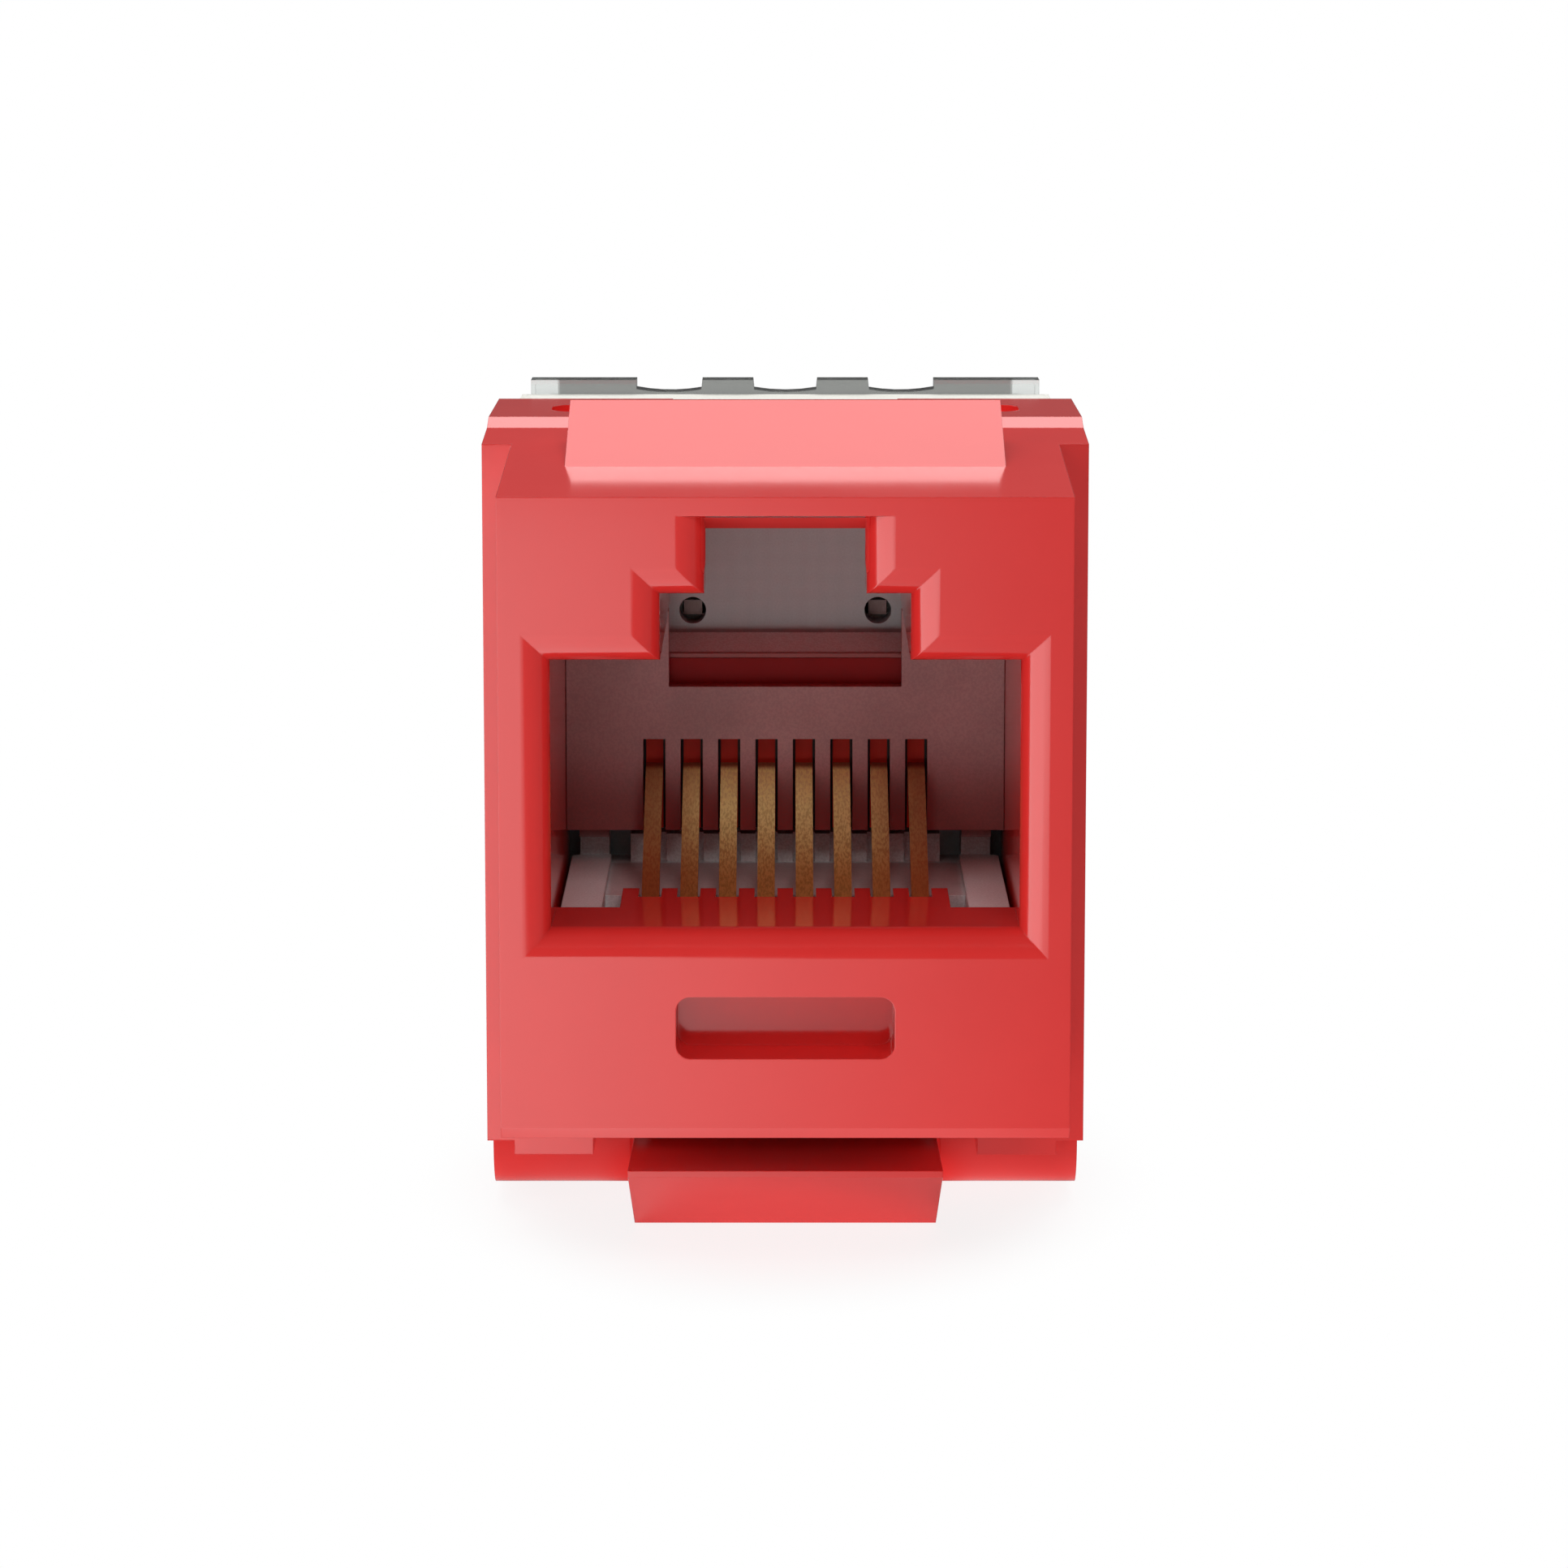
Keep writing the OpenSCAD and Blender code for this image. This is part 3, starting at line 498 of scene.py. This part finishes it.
def contact_painted_shade(place, plated):
    # Painted shade: browner at the row's ends, red at the tips in the slots.
    shaded_ends = shade(0.65 * ramp_mm(abs(axis(place, "X")), *ROW_END_MM), plated, ROW_END_SHADE)
    return shade(0.9 * ramp_mm(axis(place, "Z"), *TIP_MM), shaded_ends, TIP_SHADE_RED)


def blade_painted_shade(place, plated):
    # Painted shade: the pin ends are darkened where they sit in the board's holes.
    return shade(0.95 * ramp_mm(axis(place, "Y"), *HOLE_SHADE_MM), plated, HOLE_SHADE)


# %% [markdown]
# ## Plated metal
#
# The contacts are spring bronze with gold over it. The gold is painted lighter towards the top and
# darker lower down, as painted light and shade, and its streaks of wear are painted fainter towards the
# top. Rolling and stamping leave streaks along the strip, so the noise is kept narrow across X and drawn
# out along the wire. The blades are tin over the same bronze, and greyer. A bare metal shader would turn
# black in the dark socket, so the gold keeps most of its colour in the diffuse part.

# %% Gold contacts and tinned blades
LIT_TOP_MM = (-2.9, -0.6)
STREAK_MM = 0.045
STREAK_STRETCH = (1.0, 0.3, 0.3)
STREAK_SPREAD = (0.4, 0.62)
WORN_PATCH_MM = 0.7


def plated_strip(name, tints, worn, low, high, gloss, metal):
    material, shader, place = start_finish(name)
    lines = noise(stretch(place, STREAK_STRETCH), STREAK_MM, detail=4.0)
    patch = noise(place, WORN_PATCH_MM)
    lit_top = ramp_mm(axis(place, "Z"), *LIT_TOP_MM)
    # Painted light and shade: the plating is lighter towards the top, darker lower down, and less worn at
    # the top.
    plated = shade(lit_top, linear(low), linear(high))
    wear = (0.7 * ramp(lines, *STREAK_SPREAD) + 0.1 * patch) * (1 - 0.7 * lit_top)
    place.feed(shader.inputs["Base Color"], tints(place, shade(wear, plated, linear(worn))))
    place.feed(shader.inputs["Roughness"], gloss - 0.1 + 0.2 * lines)
    place.feed(shader.inputs["Normal"], relief(lines, depth_mm=0.004, strength=0.5))
    shader.inputs["Metallic"].default_value = metal
    return material


# low and high are the plating's painted shaded and lit shades.
gold_shades = {"worn": "7c5526", "low": "a8703c", "high": "fffca8"}
tin_shades = {"worn": "5c5852", "low": "9a968f", "high": "b4b0a8"}
gold = plated_strip("gold_plating", contact_painted_shade, gloss=0.46, metal=0.1, **gold_shades)
tin = plated_strip("tin_plating", blade_painted_shade, gloss=0.42, metal=0.9, **tin_shades)
dress(gold, *[f"contact_{i}" for i in range(1, 9)])
dress(tin, *[f"idc_blade_{i}" for i in range(1, 9)])

# %% [markdown]
# ## Dust cap
#
# The cap is clear polycarbonate. Plain alpha would be quicker, but it wouldn't bend the towers behind
# it, so the cap takes full transmission and its own refractive index. Its raised lip is seen edge on,
# through a long way of plastic, and the grey it shows there is painted into its colour as shade. Only the
# lip's thin corners stay clear. The polish is a little uneven from handling.

# %% Clear plastic
CAP_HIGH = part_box("dust_cap")[1]
LIP_MM = (-1.0, -0.9)
LIP_CORNER_MM = (0.72, 0.84)
CLEAR = linear("d8dcda")
CLEARER = linear("e2e6e4")
LIP_SHADE_GREY = linear("8b8d8b")
HANDLED_MM = 1.2
SCUFF_MM = 0.06
SCUFF_STRETCH = (1.0, 0.2, 1.0)


def clear_moulding():
    material, shader, place = start_finish("clear_plastic")
    polish = noise(place, HANDLED_MM)
    scuff = noise(stretch(place, SCUFF_STRETCH), SCUFF_MM, detail=3.0)
    middle = ramp_mm(CAP_HIGH.x - abs(axis(place, "X")), *LIP_CORNER_MM)
    lip_shade = ramp_mm(axis(place, "Z") - CAP_HIGH.z, *LIP_MM) * middle
    # Painted shade: the lip is painted grey, and its corners stay clear.
    place.feed(shader.inputs["Base Color"], shade(lip_shade, shade(polish, CLEAR, CLEARER), LIP_SHADE_GREY))
    place.feed(shader.inputs["Roughness"], 0.02 + 0.04 * polish + 0.03 * scuff)
    shader.inputs["Transmission Weight"].default_value = 1.0
    shader.inputs["IOR"].default_value = 1.58
    return material


dress(clear_moulding(), "dust_cap")

# %% [markdown]
# ## White studio
#
# The picture was taken on plain white. A simple white floor would do for the background, but it would
# also wash every glossy red surface out to pink. So the Light Path node sorts the rays, and the floor
# answers each kind in its own way. To the camera, and through the clear cap, it is white with the jack's
# soft shadow. In mirrors it is dim, with one wide bright panel on the left. To dull surfaces it is a
# light table under the jack, dimmer on the right.

# %% Kinds of rays
def ray(start, kind):
    """1 for rays of one kind, 0 for all others."""
    return start.add("ShaderNodeLightPath", out=f"Is {kind} Ray")


def mirror_ray(start):
    return ray(start, "Glossy") * (1 - ray(start, "Transmission"))


# %% [markdown]
# ## Zones of the floor
#
# The masks on the floor work like those on the pieces. `far` leaves out the patch under the jack, which
# keeps its shadow, `beside` is what that patch shows left and right of the latch, and `near` is a ring
# round it. `far` and `near` are measured in half sizes of the patch, whose middle lies one half depth
# behind the face. `right` is the side where the table is dim.

# %% Floor masks
PATCH_HALF_WIDTH_MM = 10.0
PATCH_HALF_DEPTH_MM = 16.0
FAR = (0.65, 1.1)
NEAR = (2.6, 1.2)
NEAR_LEFT_MM = (-1.0, -7.0)
LATCH_SIDE_MM = (4.2, 5.4)
RIGHT_MM = (2.0, 16.0)


def floor_zones(place):
    """The masks far, beside, near and right."""
    spot = stretch(place, (1 / (PATCH_HALF_WIDTH_MM * MM), 1 / (PATCH_HALF_DEPTH_MM * MM), 0))
    away = place.add("ShaderNodeVectorMath", {"operation": "DISTANCE"}, {0: spot, 1: (0, 1, 0)}, out="Value")
    side = axis(place, "X")
    far = ramp(away, *FAR)
    beside = (1 - far) * (0.1 + 0.4 * ramp_mm(abs(side), *LATCH_SIDE_MM))
    near = ramp(away, *NEAR) * (1 - 0.45 * ramp_mm(side, *NEAR_LEFT_MM))
    return far, beside, near, ramp_mm(side, *RIGHT_MM)


# %% [markdown]
# ## Bright panel
#
# The face of the jack is paler on the left, because it mirrors something bright there. A lamp would
# light the whole jack as well, so only the floor's answer to mirrors is bright. The panel fades across
# the face, so its edge is measured as the camera sees it mirrored there. It ends just behind the face,
# before the shoulders would mirror it, and a little over 200 mm away, so that the hook doesn't mirror
# it towards the back.

# %% Mask of the panel
CAMERA_AWAY_MM = 138.44
PANEL_SIDE_MM = (12.0, -18.0)
PANEL_BACK_MM = (4.0, 0.0)
PANEL_SLANT = 0.15
PANEL_REACH_MM = (240.0, 200.0)


def panel_zone(place):
    side = axis(place, "X")
    depth = axis(place, "Y")
    reach = place.add("ShaderNodeVectorMath", {"operation": "LENGTH"}, {0: place}, out="Value")
    mirrored_side = side / (1 - depth / (CAMERA_AWAY_MM * MM))
    before = ramp_mm(depth - PANEL_SLANT * side, *PANEL_BACK_MM)
    return ramp_mm(mirrored_side, *PANEL_SIDE_MM) * before * ramp_mm(reach, *PANEL_REACH_MM)


# %% [markdown]
# ## Finish of the floor
#
# Three plain emissions stand for white, for the dim mirror image and for the panel. One could also hide
# the floor from some rays and put three planes in its place, but Mix Shaders can choose between the
# emissions and the real, shadowed floor within one material. The light table is a small share of the
# panel, larger close to the jack.

# %% Floor that answers each kind of ray
GLOW, DIM, PANEL = 1.0, 0.28, 3.9
SHADOW = 0.14
TABLE = 0.04
TABLE_NEAR = 0.18
TABLE_DIM = 0.7
FLOOR_WHITE = (0.9, 0.9, 0.9, 1.0)
FLOOR_DULL = 0.9


def mix_shaders(amount, first, second):
    return amount.add("ShaderNodeMixShader", inputs={0: amount, 1: first, 2: second})


def floor_finish():
    material, shader, place = start_finish("white_floor")
    shader.inputs["Base Color"].default_value = FLOOR_WHITE
    shader.inputs["Roughness"].default_value = FLOOR_DULL
    far, beside, near, right = floor_zones(place)
    mirror = mirror_ray(place)
    dull = ray(place, "Diffuse")
    glow, dim, panel = [place.add("ShaderNodeEmission", inputs={"Strength": s}) for s in (GLOW, DIM, PANEL)]
    white = ray(place, "Camera") * (1 - SHADOW * (1 - far)) + ray(place, "Transmission") * far
    seen = mix_shaders(white + mirror * beside, Socket(place.tree, shader.outputs[0]), glow)
    calm = mix_shaders(mirror * far + TABLE_DIM * dull * right, seen, dim)
    table = dull * (TABLE + TABLE_NEAR * near)
    lit = mix_shaders(mirror * far * panel_zone(place) + table, calm, panel)
    place.feed(place.tree.nodes["Material Output"].inputs["Surface"], lit)
    return material


# %% [markdown]
# ## Floor
#
# The floor is one large square at the height of the jack's lowest point. A plane from the menu would be
# the same thing, and four corners in a list show what it is made of.

# %% Lay the floor
LOWEST = CAD_BOX[0][2]
FLOOR_HALF = 1.5


def make_floor():
    mesh = bpy.data.meshes.new("floor")
    corners = [(x * FLOOR_HALF, y * FLOOR_HALF, 0) for x, y in ((-1, -1), (1, -1), (1, 1), (-1, 1))]
    mesh.from_pydata(corners, [], [(0, 1, 2, 3)])
    mesh.materials.append(floor_finish())
    floor = bpy.data.objects.new("floor", mesh)
    floor.location.z = LOWEST
    bpy.context.scene.collection.objects.link(floor)


make_floor()
print("floor at", round(LOWEST / MM, 3), "mm")

# %% [markdown]
# ## World
#
# Above the floor the studio is white to the camera and through the cap, and a dark room to everything
# else. A bright world would be the easiest light of all, but it comes from every side and takes the
# shape out of the object.

# %% Studio walls
def make_world(fill, mirrored):
    world = bpy.data.worlds.new("studio")
    bpy.context.scene.world = world
    world.use_nodes = True
    start = Socket(world.node_tree)
    white = ray(start, "Camera") + ray(start, "Transmission")
    level = fill + (1 - fill) * white + (mirrored - fill) * mirror_ray(start)
    background = world.node_tree.nodes["Background"]
    background.inputs["Color"].default_value = WHITE
    start.feed(background.inputs["Strength"], level)
    print("world", fill, "to dull surfaces,", mirrored, "in mirrors")


make_world(fill=0.16, mirrored=0.10)

# %% [markdown]
# ## Lamps
#
# Soft boxes light the rest, as in a product studio: one on the left, one high in front that reaches into
# the socket, one overhead and one behind, which shows as the sheen on the hook. Area lamps are used
# because their size makes the shadows soft. Each is set by the brightness of its surface, and its watts
# follow from its area. The front lamp and the overhead lamp are kept out of mirrors, where they would
# show as bright spots on the slopes.

# %% Soft boxes
def soft_box(name, turn, rise, away, size, radiance, in_mirrors):
    """A lamp that faces the origin. A turn of 0 degrees is in front of the face, 90 is on its left."""
    t, r = math.radians(turn), math.radians(rise)
    place = away * Vector((-math.sin(t) * math.cos(r), -math.cos(t) * math.cos(r), math.sin(r)))
    lamp = bpy.data.lights.new(name, "AREA")
    lamp.shape = "RECTANGLE"
    lamp.size, lamp.size_y = size
    lamp.energy = radiance * math.pi * lamp.size * lamp.size_y
    holder = bpy.data.objects.new(name, lamp)
    holder.location = place
    holder.rotation_euler = (-place).to_track_quat("-Z", "Y").to_euler()
    holder.visible_camera = False
    holder.visible_glossy = in_mirrors
    bpy.context.scene.collection.objects.link(holder)
    print(name, round(lamp.energy, 2), "W")


soft_box("left_lamp", turn=60, rise=32, away=0.30, size=(0.30, 0.16), radiance=1.4, in_mirrors=True)
soft_box("socket_lamp", turn=-7, rise=39, away=0.40, size=(0.20, 0.085), radiance=7.8, in_mirrors=False)
soft_box("overhead_lamp", turn=180, rise=70, away=0.50, size=(0.49, 0.43), radiance=2.25, in_mirrors=False)
soft_box("back_lamp", turn=180, rise=42, away=0.40, size=(0.50, 0.26), radiance=1.95, in_mirrors=True)

# %% [markdown]
# ## Camera
#
# The camera's place was worked out from straight edges of known size on the jack: it stands 138 mm in
# front of the face, a little above it, and looks down by 9 degrees through a long lens. A guess by eye
# would do for a picture, but not for laying the picture over the photograph.

# %% Camera of the photograph
CAMERA_PLACE_MM = (-0.034, -CAMERA_AWAY_MM, 22.645)
LOOKS_DOWN = 8.965
LENS_MM = 127.57
SENSOR_MM = 36.0

camera = bpy.data.cameras.new("camera")
camera.sensor_width = SENSOR_MM
camera.lens = LENS_MM
camera.clip_start = 0.005
camera.clip_end = 10.0
viewer = bpy.data.objects.new("camera", camera)
viewer.location = [c * MM for c in CAMERA_PLACE_MM]
viewer.rotation_euler = (math.radians(90 - LOOKS_DOWN), 0.0, 0.0)
bpy.context.scene.collection.objects.link(viewer)
bpy.context.scene.camera = viewer
bpy.context.scene.view_settings.view_transform = "Standard"
print("lens", LENS_MM, "mm")
